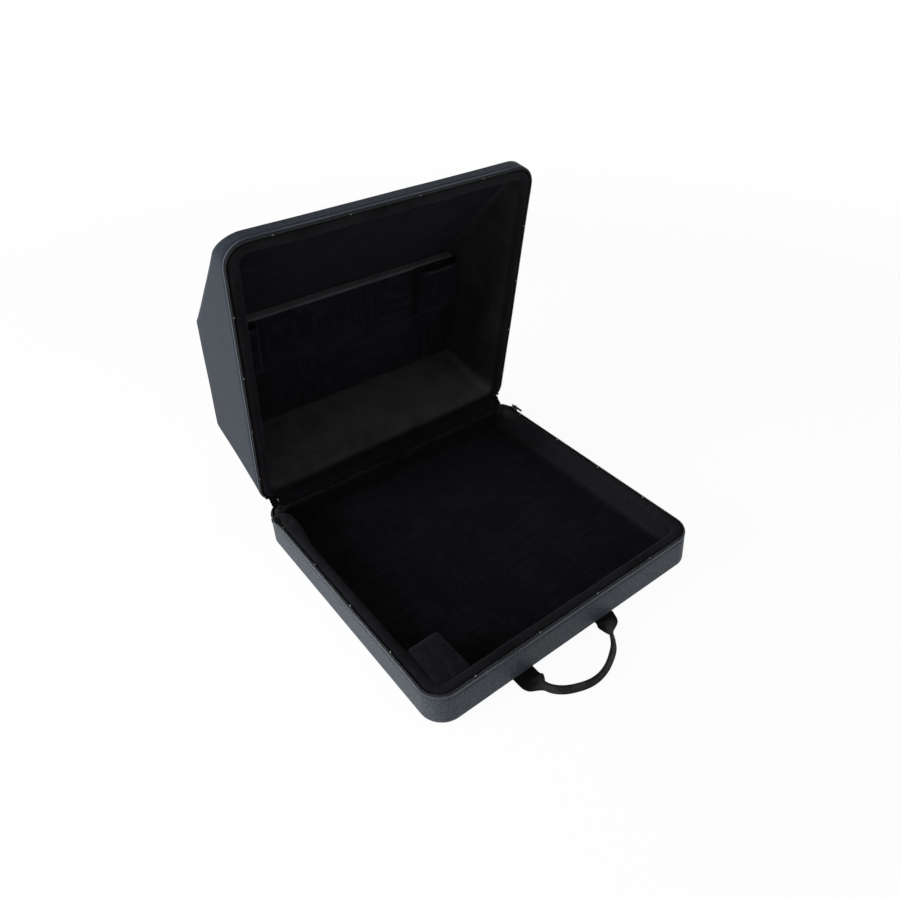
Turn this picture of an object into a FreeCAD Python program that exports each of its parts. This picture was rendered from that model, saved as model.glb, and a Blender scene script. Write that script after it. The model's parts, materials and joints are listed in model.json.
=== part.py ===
import FreeCAD, Part
import math
import os
from FreeCAD import Placement, Rotation, Vector

# Padded carrying case: a shallow tray and a deep wedge-fronted lid, joined by
# a cloth hinge along the back edge and closed by a zip round the other three.
# Millimetres, +X to the right, +Y to the hinge, +Z up. The origin is at the
# middle of the tray's underside. The lid stands open as it is stored.

os.makedirs("parts", exist_ok=True)

# Overall form
case_width = 550.0
case_depth = 532.0
tray_height = 63.0
lid_height = 198.0
lid_front_height = 29.4
lid_slope_run = 248.0
lid_back_lean = 14.3
lid_side_lean = 13.4
open_angle = 78.9
corner_r = 38.0
tray_edge_r = 9.0
lid_edge_r = 11.0
inner_edge_r = 5.0

# Layers of a wall, from outside to inside
cover_t = 1.2
foam_t = 17.0
floor_foam_t = 12.0
lining_t = 2.4
layer_gap = 0.15
lip_round_share = 0.8

# Rim: zip tape, zip coil, groove and plush lip
lip_drop = 0.8
coil_r = 1.25
coil_drop = 0.6
coil_inset = 1.75
tape_t = 0.8
tape_width = 13.0
groove_width = 3.0
groove_depth = 8.0
zip_end_inset = 14.0
seat_gap = 0.1

# Tacks that hold the lip's cloth in the groove
tack_length = 3.5
tack_t = 0.8
tack_gap = 0.4
tack_pitch_share = 0.2162
tack_hinge_share = 0.1316
tack_side_count = 4
tack_front_count = 4
tack_front_pitch_share = 0.2218
tack_front_shift_share = -0.0309

# Metal stop on each end of the lid's zip
stop_length = 5.0

# Zip slider and its pull tab
slider_length = 15.0
slider_outer_height = 9.0
slider_inner_height = 5.2
slider_plate_t = 1.2
slider_outer_gap = 0.8
slider_inner_gap = 0.45
wedge_length = 2.6
wedge_t = 0.8
lug_reach = 3.4
lug_t = 1.0
lug_length = 4.0
pin_r = 0.8
pin_gap = 0.06
pull_length = 20.0
pull_width = 5.0
pull_t = 1.4
pull_eye_r = 1.7
pull_hole_r = 1.1
pull_clear = 0.3

# Soft hinge between tray and lid
band_leg = 22.0
band_t = 1.2
roll_leg = 24.0
roll_folds = 4
roll_gap = 0.3
roll_corner = 2.0
roll_end_inset = 26.0
fold_crest_share = 0.8
gusset_leg = 15.0
gusset_length = 12.6
gusset_folds = 2

# Corner block in the tray and pad on the lid's top panel
block_width = 60.0
block_depth = 85.0
block_drop = 1.0
block_r = 6.0
pad_t = 17.0
pad_edge_r = 3.0

# Open-topped pockets on the lid's pad
pocket_height = 98.0
pocket_reach = 22.0
pocket_wall = 4.0
pocket_r = 9.0
left_pocket_width = 60.0
right_pocket_width = 95.0
pocket_side_gap = 1.0
pocket_top_drop = 3.0

# Webbing handles
webbing_t = 2.0
webbing_width = 39.0
handle_shift = -30.0
anchor_spacing = 172.0
loop_half_width = 91.0
loop_reach = 80.0
# Handle's line as shares of its half width and reach; it lies lower at its left
loop_shares = [
    (-1.0, 0.0),
    (-1.0, 0.32),
    (-0.87, 0.61),
    (-0.6, 0.84),
    (-0.24, 0.985),
    (0.12, 0.94),
    (0.52, 0.73),
    (0.84, 0.39),
    (0.97, 0.0),
]
flat_end_length = 40.0
grip_start = 28.0
grip_height = 19.0
grip_t = 4.0
grip_lean = 7.0
handle_clear = 0.3
front_handle_stand_off = 6.3
front_patch_length = 9.0
lid_patch_length = 28.0
lid_patch_inset = 12.0

# Overrun of every cut, and room past the whole case
overrun = 50.0

# Worked out from the sizes above
half_width = case_width / 2
half_depth = case_depth / 2
foam_out = cover_t + layer_gap
foam_in = foam_out + foam_t
liner_out = foam_in + layer_gap
cavity = liner_out + lining_t
tray_foam_floor = foam_out + floor_foam_t
tray_liner_floor = tray_foam_floor + layer_gap
tray_floor = tray_liner_floor + lining_t
hem_drop = coil_drop + 2 * coil_r + seat_gap
tape_in = foam_out + tape_t
flange_out = tape_in + groove_width
flange_in = flange_out + lining_t
reach = case_width + case_depth + lid_height
hinge_point = Vector(0, half_depth, tray_height)


def save(name, shape):
    """Write one piece to its own file."""
    shape.exportStep("parts/" + name + ".step")


def place_tray(shape):
    """Rim frame (rim at z=0, depth up, hinge at y=0) to the tray in place."""
    flipped = shape.mirror(Vector(), Vector(0, 0, 1))
    flipped.translate(hinge_point)
    return flipped


def place_lid(shape):
    """Rim frame of the closed lid to the open lid in place."""
    moved = shape.copy()
    moved.Placement = Placement(hinge_point, Rotation(Vector(1, 0, 0), -open_angle)).multiply(
        moved.Placement
    )
    return moved


def arc_edge(centre, radius, start, stop):
    """Arc about a vertical axis, angles in degrees."""
    points = []
    for angle in (start, (start + stop) / 2, stop):
        turn = math.radians(angle)
        points.append(centre + Vector(radius * math.cos(turn), radius * math.sin(turn), 0))
    return Part.Arc(*points).toShape()


def line_edge(a, b):
    return Part.LineSegment(a, b).toShape()


def rim_outline(inset, z, side_lean=0, back_lean=0):
    """Closed rounded rectangle at height z, moved inward by inset."""
    r = corner_r - inset
    x = half_width - inset - side_lean
    front = inset - case_depth
    back = -inset - back_lean
    edges = [
        line_edge(Vector(x, front + r, z), Vector(x, back - r, z)),
        arc_edge(Vector(x - r, back - r, z), r, 0, 90),
        line_edge(Vector(x - r, back, z), Vector(r - x, back, z)),
        arc_edge(Vector(r - x, back - r, z), r, 90, 180),
        line_edge(Vector(-x, back - r, z), Vector(-x, front + r, z)),
        arc_edge(Vector(r - x, front + r, z), r, 180, 270),
        line_edge(Vector(r - x, front, z), Vector(x - r, front, z)),
        arc_edge(Vector(x - r, front + r, z), r, 270, 360),
    ]
    return Part.Wire(edges)


def round_far_edges(shape, radius, near):
    """Round every edge that lies wholly deeper than near."""
    edges = [edge for edge in shape.Edges if edge.BoundBox.ZMin > near]
    return shape.makeFillet(radius, edges)


def tray_form(inset, floor):
    """Solid of the tray's form, inset from the walls by inset and the floor by floor."""
    body = Part.Face(rim_outline(inset, 0)).extrude(Vector(0, 0, tray_height - floor))
    radius = max(tray_edge_r - inset, inner_edge_r)
    return round_far_edges(body, radius, inner_edge_r)


def slope_start(inset):
    """Point and direction of the lid's slope line after an inward shift."""
    run = Vector(0, lid_slope_run, lid_height - lid_front_height)
    run.normalize()
    inward = Vector(0, run.z, -run.y)
    start = Vector(0, -case_depth, lid_front_height) + inward * inset
    return start, run


def lid_form(inset, floor):
    """Solid of the lid's form in the rim frame, inset on every panel."""
    low = rim_outline(inset, 0)
    high = rim_outline(inset, lid_height, lid_side_lean, lid_back_lean)
    body = Part.makeLoft([low, high], True, True)
    start, run = slope_start(floor)
    a = start - run * reach
    b = start + run * reach
    outline = [a, b, Vector(0, b.y, -reach), Vector(0, a.y, -reach), a]
    wedge = Part.Face(Part.makePolygon(outline)).extrude(Vector(2 * reach, 0, 0))
    wedge.translate(Vector(-reach, 0, 0))
    top = lid_height - floor
    slab = Part.makeBox(2 * reach, 2 * reach, 2 * reach, Vector(-reach, -reach, top - 2 * reach))
    body = body.common(wedge).common(slab)
    radius = max(lid_edge_r - inset, inner_edge_r)
    return round_far_edges(body, radius, inner_edge_r)


def slab_between(near, far):
    """Everything from depth near to depth far."""
    corner = Vector(-reach, -reach, near)
    return Part.makeBox(2 * reach, 2 * reach, far - near, corner)


def cover_layer(form):
    """Outer cloth, hemmed just under the zip coil."""
    skin = form(0, 0).cut(form(cover_t, cover_t))
    return skin.cut(slab_between(-overrun, hem_drop))


def foam_layer(form, foam_floor):
    """Foam wall, stepped on its outer top edge for the zip tape and the lip's cloth."""
    foam = form(foam_out, foam_out).cut(form(foam_in, foam_floor))
    foam = foam.cut(slab_between(-overrun, lip_drop + lining_t + layer_gap))
    step = slab_between(-overrun, groove_depth).cut(form(flange_in + layer_gap, foam_floor))
    foam = foam.cut(step)
    rebate_depth = hem_drop + tape_width + layer_gap
    rebate = slab_between(-overrun, rebate_depth).cut(form(tape_in + layer_gap, foam_floor))
    return foam.cut(rebate)


def lining_layer(form, liner_floor, inner_floor):
    """Plush cloth: the inside, the lip over the foam and the flap down the groove."""
    flap = form(flange_out, liner_floor).common(slab_between(lip_drop, groove_depth - layer_gap))
    under = form(flange_in, liner_floor).common(slab_between(lip_drop + lining_t, reach))
    flap = flap.cut(under)
    inside = form(liner_out, liner_floor).common(slab_between(lip_drop, reach))
    lining = flap.fuse(inside).cut(form(cavity, inner_floor))
    lining = lining.removeSplitter()
    edges = []
    for edge in lining.Edges:
        box = edge.BoundBox
        if box.ZMax < lip_drop + seat_gap:
            edges.append(edge)
    return lining.makeFillet(lip_round_share * lining_t, edges)


def zip_zone():
    """Room of the zipped three sides: all but the hinge side."""
    corner = Vector(-reach, -zip_end_inset - reach, -overrun)
    return Part.makeBox(2 * reach, reach, reach, corner)


def tape_layer(form):
    """Zip tape, standing between the cover and the foam on three sides."""
    tape = form(foam_out, foam_out).cut(form(tape_in, tape_in))
    tape = tape.common(slab_between(hem_drop, hem_drop + tape_width))
    return tape.common(zip_zone())


def zip_path(short):
    """Line of the coil round three sides, each end part way round a back corner.

    short is how far it stops before the full length of the zip.
    """
    r = corner_r - coil_inset
    x = half_width - coil_inset
    z = coil_drop + coil_r
    front = coil_inset - case_depth
    bend = -corner_r
    sweep = math.degrees(math.asin((corner_r - zip_end_inset) / r) - short / r)
    edges = [
        arc_edge(Vector(r - x, bend, z), r, 180 - sweep, 180),
        line_edge(Vector(-x, bend, z), Vector(-x, front + r, z)),
        arc_edge(Vector(r - x, front + r, z), r, 180, 270),
        line_edge(Vector(r - x, front, z), Vector(x - r, front, z)),
        arc_edge(Vector(x - r, front + r, z), r, 270, 360),
        line_edge(Vector(x, front + r, z), Vector(x, bend, z)),
        arc_edge(Vector(x - r, bend, z), r, 0, sweep),
    ]
    return Part.Wire(edges)


def coil_bead(short):
    """One half of the zip's coil as a plain bead."""
    path = zip_path(short)
    first = path.Edges[0]
    start = first.valueAt(first.FirstParameter)
    along = first.tangentAt(first.FirstParameter)
    circle = Part.Wire([Part.Circle(start, along, coil_r).toShape()])
    return path.makePipeShell([circle], True, False)


def tack(x_side, y):
    """One tack across the groove of a side wall; x_side is -1 or 1."""
    width = groove_width - tack_gap
    near = half_width - tape_in - tack_gap
    low = min(x_side * near, x_side * (near - width))
    corner = Vector(low, y - tack_length / 2, hem_drop + seat_gap)
    return Part.makeBox(width, tack_length, tack_t, corner)


def front_tack(x):
    """One tack across the groove of the front wall."""
    width = groove_width - tack_gap
    corner = Vector(x - tack_length / 2, tape_in + tack_gap - case_depth, hem_drop + seat_gap)
    return Part.makeBox(tack_length, width, tack_t, corner)


def tack_row():
    """All the tacks of one rim."""
    tacks = []
    for index in range(tack_side_count):
        y = -(tack_hinge_share + index * tack_pitch_share) * case_depth
        tacks.append(tack(-1, y))
        tacks.append(tack(1, y))
    for index in range(tack_front_count):
        place = (index - (tack_front_count - 1) / 2) * tack_front_pitch_share
        x = (place + tack_front_shift_share) * case_width
        tacks.append(front_tack(x))
    return Part.makeCompound(tacks)


def zip_stop(side):
    """Small metal block beyond the end of the lid's coil; side is -1 or 1."""
    path = zip_path(stop_length - seat_gap)
    edge = path.Edges[-1]
    end = edge.valueAt(edge.LastParameter)
    along = edge.tangentAt(edge.LastParameter)
    size = 2 * coil_r
    block = Part.makeBox(stop_length - seat_gap, size, size, Vector(0, -coil_r, -coil_r))
    block.Placement = Placement(end, Rotation(Vector(1, 0, 0), along))
    return mirror_side(block, side)


def tray_block():
    """Plush block in the tray's front left corner, just below the lip."""
    x = cavity - half_width
    y = cavity - case_depth
    top = lip_drop + block_drop
    block = Part.makeBox(block_width, block_depth, tray_height - tray_floor - top, Vector(x, y, top))
    block = block.common(tray_form(cavity + seat_gap, tray_floor + seat_gap))
    edges = []
    for edge in block.Edges:
        box = edge.BoundBox
        inward = box.XMin > x + block_width - block_r or box.YMin > y + block_depth - block_r
        if box.ZMax < top + seat_gap and inward:
            edges.append(edge)
    return block.makeFillet(block_r, edges)


def pad_depth():
    """Depth of the pad's plush face below the rim."""
    return lid_height - cavity - pad_t


def crease_line():
    """Distance from the hinge to the line where slope and top panel meet inside."""
    start, run = slope_start(cavity)
    travel = (lid_height - cavity - start.z) / run.z
    return -(start.y + run.y * travel)


def lid_pad():
    """Padded board on the inside of the top panel; its upper edge is a ledge."""
    near = pad_depth()
    inside = lid_form(cavity + seat_gap, cavity + seat_gap)
    y = -crease_line()
    room = Part.makeBox(2 * reach, reach, pad_t, Vector(-reach, y, near))
    pad = inside.common(room)
    edges = []
    for edge in pad.Edges:
        box = edge.BoundBox
        flat = box.ZMax < near + seat_gap
        if flat and box.YMax < y + seat_gap:
            edges.append(edge)
    return pad.makeFillet(pad_edge_r, edges)


def side_wall_x(depth):
    """Half width of the lid's inside at a depth."""
    return half_width - cavity - lid_side_lean * depth / lid_height


def lid_pocket(side, width):
    """Padded pocket on the pad, open towards the lid's front wall; side is -1 or 1."""
    near = pad_depth() - seat_gap - pocket_reach
    far = pad_depth() - seat_gap
    outer = side_wall_x(far) - pocket_side_gap
    y = -(crease_line() - pocket_top_drop)
    low = min(side * outer, side * (outer - width))
    body = Part.makeBox(width, pocket_height, pocket_reach, Vector(low, y, near))
    body = body.makeFillet(pocket_r, pocket_edges(body, near, far, y))
    hollow = Part.makeBox(
        width - 2 * pocket_wall,
        pocket_height - pocket_wall + overrun,
        pocket_reach - 2 * pocket_wall,
        Vector(low + pocket_wall, y - overrun, near + pocket_wall),
    )
    return body.cut(hollow)


def pocket_edges(body, near, far, y):
    """Long edges of the pocket's front face, and its bottom edge."""
    chosen = []
    for edge in body.Edges:
        box = edge.BoundBox
        on_front = box.ZMax < near + seat_gap
        at_mouth = box.YMax < y + seat_gap
        if on_front and not at_mouth:
            chosen.append(edge)
    return chosen


def slider_face():
    """Inner side of the slider's outer plate, from the middle plane."""
    return half_width - coil_inset + coil_r + slider_outer_gap


def slider_body(side):
    """Zip slider: outer plate, inner plate in the groove, wedge between the coils, lug."""
    y0 = -corner_r - slider_length
    outer_face = slider_face()
    inner_face = half_width - coil_inset - coil_r - slider_inner_gap
    outer_z = -slider_outer_height / 2
    inner_z = -slider_inner_height / 2
    plate = Part.makeBox(
        slider_plate_t, slider_length, slider_outer_height, Vector(outer_face, y0, outer_z)
    )
    inner = Part.makeBox(
        slider_plate_t,
        slider_length,
        slider_inner_height,
        Vector(inner_face - slider_plate_t, y0, inner_z),
    )
    wedge = Part.makeBox(
        outer_face - inner_face, wedge_length, wedge_t, Vector(inner_face, y0, -wedge_t / 2)
    )
    body = plate.fuse([inner, wedge, slider_lug(outer_face + slider_plate_t)])
    return mirror_side(body.removeSplitter(), side)


def lug_centre():
    """Middle of the slider's length."""
    return -corner_r - slider_length / 2


def slider_lug(face):
    """Two ears with an upright pin, which carry the pull tab."""
    ears = []
    y = lug_centre() - lug_length / 2
    ear_z = pull_width / 2 + pin_gap
    for z in (ear_z, -ear_z - lug_t):
        ears.append(Part.makeBox(lug_reach, lug_length, lug_t, Vector(face, y, z)))
    span = 2 * ear_z
    centre = Vector(pull_axis_x(), lug_centre(), -span / 2)
    pin = Part.makeCylinder(pin_r, span, centre)
    return ears[0].fuse([ears[1], pin])


def pull_axis_x():
    """Distance of the pull's pin from the middle plane."""
    return slider_face() + slider_plate_t + pull_eye_r + pull_clear


def pull_tab(side):
    """Flat tab with an eye round the slider's pin and a hole near its end."""
    x = pull_axis_x()
    z = -pull_width / 2
    y = lug_centre()
    eye = Part.makeCylinder(pull_eye_r, pull_width, Vector(x, y, z))
    tip = y - pull_length
    blade = Part.makeBox(pull_t, pull_length, pull_width, Vector(x - pull_t / 2, tip, z))
    end_edges = []
    for edge in blade.Edges:
        box = edge.BoundBox
        if box.YMax < tip + seat_gap and box.XLength > pull_t - seat_gap:
            end_edges.append(edge)
    blade = blade.makeFillet(pull_width / 2 - seat_gap, end_edges)
    tab = eye.fuse(blade)
    tab = tab.cut(Part.makeCylinder(pin_r + pin_gap, pull_width, Vector(x, y, z)))
    hole_y = tip + pull_width / 2
    hole = Part.makeCylinder(
        pull_hole_r, 2 * pull_eye_r, Vector(x - pull_eye_r, hole_y, 0), Vector(1, 0, 0)
    )
    return mirror_side(tab.cut(hole), side)


def mirror_side(shape, side):
    """Right-hand piece as it is, left-hand piece mirrored."""
    if side > 0:
        return shape
    return shape.mirror(Vector(), Vector(1, 0, 0))


def open_direction(y, z):
    """Turn a direction of the closed lid into the open lid."""
    turn = math.radians(open_angle)
    return Vector(0, y * math.cos(turn) + z * math.sin(turn), z * math.cos(turn) - y * math.sin(turn))


def hinge_band():
    """Outer cloth band over the hinge line: down the tray's back and under the lid's back."""
    lid_leg = open_direction(-lid_back_lean, lid_height)
    lid_leg.normalize()
    tray_leg = Vector(0, 0, -1)
    tray_out = Vector(0, 1, 0)
    lid_out = Vector(0, lid_leg.z, -lid_leg.y)
    near = offset_corner(tray_leg, tray_out, lid_leg, lid_out, layer_gap)
    far = offset_corner(tray_leg, tray_out, lid_leg, lid_out, layer_gap + band_t)
    outline = [
        near + tray_leg * band_leg,
        near,
        near + lid_leg * band_leg,
        near + lid_leg * band_leg + lid_out * band_t,
        far,
        near + tray_leg * band_leg + tray_out * band_t,
    ]
    length = case_width - 2 * corner_r
    return extrude_along_x(outline, length)


def offset_corner(leg_a, out_a, leg_b, out_b, distance):
    """Meeting point of two lines that start at the hinge and are shifted outward."""
    travel = ((out_b - out_a) * distance).dot(out_b) / leg_a.dot(out_b)
    return out_a * distance + leg_a * travel


def extrude_along_x(points, length):
    """Prism of a closed outline in the YZ plane, centred on x=0, placed at the hinge."""
    wire = Part.makePolygon(points + [points[0]])
    solid = Part.Face(wire).extrude(Vector(length, 0, 0))
    solid.translate(hinge_point + Vector(-length / 2, 0, 0))
    return solid


def gathered_roll(leg, folds, length):
    """Lining gathered into folds in the angle between the two lips."""
    tray_lip = Vector(0, -1, 0)
    lid_lip = open_direction(-1, 0)
    lift = roll_gap - lip_drop
    tray_in = Vector(0, 0, 1)
    lid_in = Vector(0, -lid_lip.z, lid_lip.y)
    start = offset_corner(tray_lip, tray_in, lid_lip, lid_in, lift)
    a = start + tray_lip * leg
    b = start + lid_lip * leg
    near_a = start + tray_lip * roll_corner
    near_b = start + lid_lip * roll_corner
    edges = [line_edge(near_a, a)]
    step = (b - a) / folds
    outward = Vector(0, -step.z, step.y)
    outward.normalize()
    for fold in range(folds):
        left = a + step * fold
        right = left + step
        crest = (left + right) / 2 + outward * (step.Length / 2) * fold_crest_share
        edges.append(Part.Arc(left, crest, right).toShape())
    edges.append(line_edge(b, near_b))
    edges.append(line_edge(near_b, near_a))
    solid = Part.Face(Part.Wire(edges)).extrude(Vector(length, 0, 0))
    solid.translate(hinge_point)
    return solid


def loop_half(half_x, half_y, z):
    """Line of the loop in front of the anchors, closed by a straight edge."""
    points = [Vector(x * half_x, -y * half_y, z) for x, y in loop_shares]
    curve = Part.BSplineCurve()
    curve.interpolate(points)
    return Part.Wire([curve.toShape(), line_edge(points[-1], points[0])])


def webbing_handle():
    """Strap in its own frame: hinge line on X, lying towards -Y, surface below z=0.

    The flat ends are full width; the grip between them is folded double and
    stands on its edge.
    """
    low = -webbing_t / 2
    high = low + grip_height
    outer = Part.makeLoft(
        [
            loop_half(loop_half_width, loop_reach, low),
            loop_half(loop_half_width - grip_lean, loop_reach - grip_lean, high),
        ],
        True,
        True,
    )
    inner = Part.makeLoft(
        [
            loop_half(loop_half_width - grip_t, loop_reach - grip_t, low),
            loop_half(loop_half_width - grip_lean - grip_t, loop_reach - grip_lean - grip_t, high),
        ],
        True,
        True,
    )
    grip = outer.cut(inner)
    behind = Part.makeBox(2 * reach, reach, 2 * reach, Vector(-reach, -grip_start, -reach))
    grip = grip.cut(behind)
    pieces = []
    for side in (-1, 1):
        x = side * anchor_spacing / 2 - webbing_width / 2
        pieces.append(
            Part.makeBox(webbing_width, flat_end_length, webbing_t, Vector(x, -flat_end_length, low))
        )
        pieces.append(
            Part.makeCylinder(webbing_t / 2, webbing_width, Vector(x, 0, 0), Vector(1, 0, 0))
        )
    strap = grip.fuse(pieces).removeSplitter()
    strap.translate(Vector(handle_shift, 0, 0))
    return strap


def anchor_patch(side, length):
    """Fixed sewn end of the webbing behind the hinge line; side is -1 or 1."""
    x = handle_shift + side * anchor_spacing / 2 - webbing_width / 2
    y = webbing_t / 2 + handle_clear
    return Part.makeBox(webbing_width, length, webbing_t, Vector(x, y, -webbing_t / 2))


def front_handle_place():
    """Hinge line of the tray's handle: in front of the bottom edge, on the floor."""
    lift = webbing_t / 2 + handle_clear
    return Placement(Vector(0, -half_depth - front_handle_stand_off, lift), Rotation())


def lid_handle_place():
    """Hinge line of the lid's handle: on the slope, behind its sewn patches."""
    start, run = slope_start(0)
    out = Vector(0, -run.z, run.y)
    along = lid_patch_inset + lid_patch_length + webbing_t / 2 + handle_clear
    point = start + run * along + out * (webbing_t / 2 + handle_clear)
    turn = math.degrees(math.atan2(run.z, run.y))
    local = Placement(point, Rotation(Vector(1, 0, 0), turn).multiply(Rotation(Vector(0, 0, 1), 180)))
    return Placement(hinge_point, Rotation(Vector(1, 0, 0), -open_angle)).multiply(local)


def at_place(shape, place):
    moved = shape.copy()
    moved.Placement = place.multiply(moved.Placement)
    return moved


def save_tray():
    save("base_shell", place_tray(foam_layer(tray_form, tray_foam_floor)))
    save("base_cover", place_tray(cover_layer(tray_form)))
    save("base_lining", place_tray(lining_layer(tray_form, tray_liner_floor, tray_floor)))
    save("base_zip_tape", place_tray(tape_layer(tray_form)))
    save("base_zip_coil", place_tray(coil_bead(0)))
    save("base_tacks", place_tray(tack_row()))
    save("base_corner_block", place_tray(tray_block()))


def save_lid():
    save("lid_shell", place_lid(foam_layer(lid_form, foam_in)))
    save("lid_cover", place_lid(cover_layer(lid_form)))
    save("lid_lining", place_lid(lining_layer(lid_form, liner_out, cavity)))
    save("lid_zip_tape", place_lid(tape_layer(lid_form)))
    save("lid_zip_coil", place_lid(coil_bead(stop_length)))
    save("lid_tacks", place_lid(tack_row()))
    save("lid_top_pad", place_lid(lid_pad()))
    save("lid_pocket_left", place_lid(lid_pocket(-1, left_pocket_width)))
    save("lid_pocket_right", place_lid(lid_pocket(1, right_pocket_width)))
    save("zip_stop_left", place_lid(zip_stop(-1)))
    save("zip_stop_right", place_lid(zip_stop(1)))


def save_sliders():
    for name, side in (("left", -1), ("right", 1)):
        slider = slider_body(side)
        slider.translate(hinge_point)
        save("zip_slider_" + name, slider)
        pull = pull_tab(side)
        pull.translate(hinge_point)
        save("zip_pull_" + name, pull)


def save_soft_hinge():
    save("hinge_band", hinge_band())
    roll = gathered_roll(roll_leg, roll_folds, case_width - 2 * roll_end_inset)
    roll.translate(Vector(roll_end_inset - half_width, 0, 0))
    save("hinge_lining", roll)
    for name, side in (("left", -1), ("right", 1)):
        gusset = gathered_roll(gusset_leg, gusset_folds, gusset_length)
        inner = half_width - roll_end_inset + seat_gap
        x = inner if side > 0 else -inner - gusset_length
        gusset.translate(Vector(x, 0, 0))
        save("hinge_gusset_" + name, gusset)


def save_handles():
    front = front_handle_place()
    save("front_handle", at_place(webbing_handle(), front))
    tray_outside = place_tray(tray_form(-seat_gap, -seat_gap))
    for name, side in (("left", -1), ("right", 1)):
        patch = at_place(anchor_patch(side, front_patch_length), front)
        save("front_handle_patch_" + name, patch.cut(tray_outside))
    back = lid_handle_place()
    save("lid_handle", at_place(webbing_handle(), back))
    for name, side in (("left", -1), ("right", 1)):
        save("lid_handle_patch_" + name, at_place(anchor_patch(side, lid_patch_length), back))


save_tray()
save_lid()
save_sliders()
save_soft_hinge()
save_handles()
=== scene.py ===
import json
import math

import bmesh
import bpy
import numpy as np
from mathutils import Matrix, Vector, noise


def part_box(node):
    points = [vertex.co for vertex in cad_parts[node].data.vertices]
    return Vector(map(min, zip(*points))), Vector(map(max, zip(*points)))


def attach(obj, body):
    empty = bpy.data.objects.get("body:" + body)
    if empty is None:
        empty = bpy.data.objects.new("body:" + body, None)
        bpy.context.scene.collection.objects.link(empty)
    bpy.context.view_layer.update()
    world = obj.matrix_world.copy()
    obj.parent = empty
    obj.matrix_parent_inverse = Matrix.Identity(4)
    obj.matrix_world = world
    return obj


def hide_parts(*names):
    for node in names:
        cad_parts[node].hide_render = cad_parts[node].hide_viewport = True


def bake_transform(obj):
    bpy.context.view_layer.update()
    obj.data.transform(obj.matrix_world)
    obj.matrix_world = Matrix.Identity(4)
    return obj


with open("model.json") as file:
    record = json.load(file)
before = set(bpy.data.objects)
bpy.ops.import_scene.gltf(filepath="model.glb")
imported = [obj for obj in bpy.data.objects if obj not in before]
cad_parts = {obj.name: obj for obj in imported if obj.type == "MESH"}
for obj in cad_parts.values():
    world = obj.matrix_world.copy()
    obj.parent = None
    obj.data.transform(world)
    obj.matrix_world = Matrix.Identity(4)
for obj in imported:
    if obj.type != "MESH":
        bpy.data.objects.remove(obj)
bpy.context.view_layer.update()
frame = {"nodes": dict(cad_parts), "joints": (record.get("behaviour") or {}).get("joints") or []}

# Tray cover. One piece of padded dark oxford cloth, pulled over the foam tray and
# glued under it. Its top edge is turned in and sewn to the zip tape; a second
# fold runs a finger's breadth below, and the bottom edge is rounded by the foam.

mm = 0.001
tray_low, tray_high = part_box("base_cover")
joints = {joint["name"]: joint for joint in frame["joints"]}
hinge = Vector(joints["lid_hinge"]["pos_m"])
opening = math.radians(joints["lid_hinge"]["range_deg"][1])
case_width = tray_high.x - tray_low.x
case_depth = tray_high.y - tray_low.y
tray_height = hinge.z
corner_r = 38 * mm
least_r = 3 * mm
tray_edge_r = 5 * mm
wall_rows = np.arange(16, 54, 4.2) * mm
front_bulge, side_bulge = 3.2 * mm, 1.6 * mm
bulge_below, bulge_curve, bulge_corner = 12 * mm, 0.7, 8
uneven_height, uneven_size = 0.7 * mm, 70 * mm
edge_steps, edge_wear = 7, 0.7
end_gap = 0.2 * mm
side_steps, corner_steps = 72, 14
side_count = side_steps + corner_steps
rim_count = 4 * side_count
hem = [(1.25, 9.0), (1.2, 5.0), (1.1, 3.9), (0.8, 3.4), (0.45, 3.28), (0.12, 3.5), (0.0, 4.1)]
fold_line = [(0.0, 7.0), (-0.1, 9.4), (0.0, 10.2), (0.5, 10.9), (0.95, 11.3), (0.5, 11.8), (0.1, 12.6)]
fold_crease = 14.6 * mm


class Socket:
    """A node's output; sums and products on it add Math nodes."""

    def __init__(self, finish, link):
        self.finish = finish
        self.link = link

    def math(self, operation, *inputs):
        return self.finish.node("ShaderNodeMath", {"operation": operation}, inputs)

    def __add__(self, other):
        return self.math("ADD", self, other)

    __radd__ = __add__

    def __sub__(self, other):
        return self.math("SUBTRACT", self, other)

    def __rsub__(self, other):
        return self.math("SUBTRACT", other, self)

    def __mul__(self, other):
        return self.math("MULTIPLY", self, other)

    __rmul__ = __mul__

    def waves(self, pitch):
        """Sine along this coordinate, one wave to a pitch."""
        turns = self * (2 * math.pi / pitch)
        return turns.math("SINE", turns)

    def beside(self, output):
        """Another output of the same node."""
        return Socket(self.finish, self.link.node.outputs[output])


class Nodes:
    """The node tree of a material or of the world."""

    def __init__(self, holder):
        holder.use_nodes = True
        self.tree = holder.node_tree

    def node(self, kind, settings=None, inputs=(), output=0):
        made = self.tree.nodes.new(kind)
        for key, value in (settings or {}).items():
            setattr(made, key, value)
        pairs = inputs.items() if isinstance(inputs, dict) else enumerate(inputs)
        for key, value in pairs:
            self.feed(made.inputs[key], value)
        return Socket(self, made.outputs[output])

    def feed(self, socket, value):
        if isinstance(value, Socket):
            self.tree.links.new(value.link, socket)
        else:
            socket.default_value = value

    def seen(self):
        """1 for what the camera sees, directly, in a mirror or through glass."""
        rays = self.node("ShaderNodeLightPath")
        either = rays.math("MAXIMUM", rays, rays.beside("Is Glossy Ray"))
        return rays.math("MAXIMUM", either, rays.beside("Is Transmission Ray"))


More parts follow.
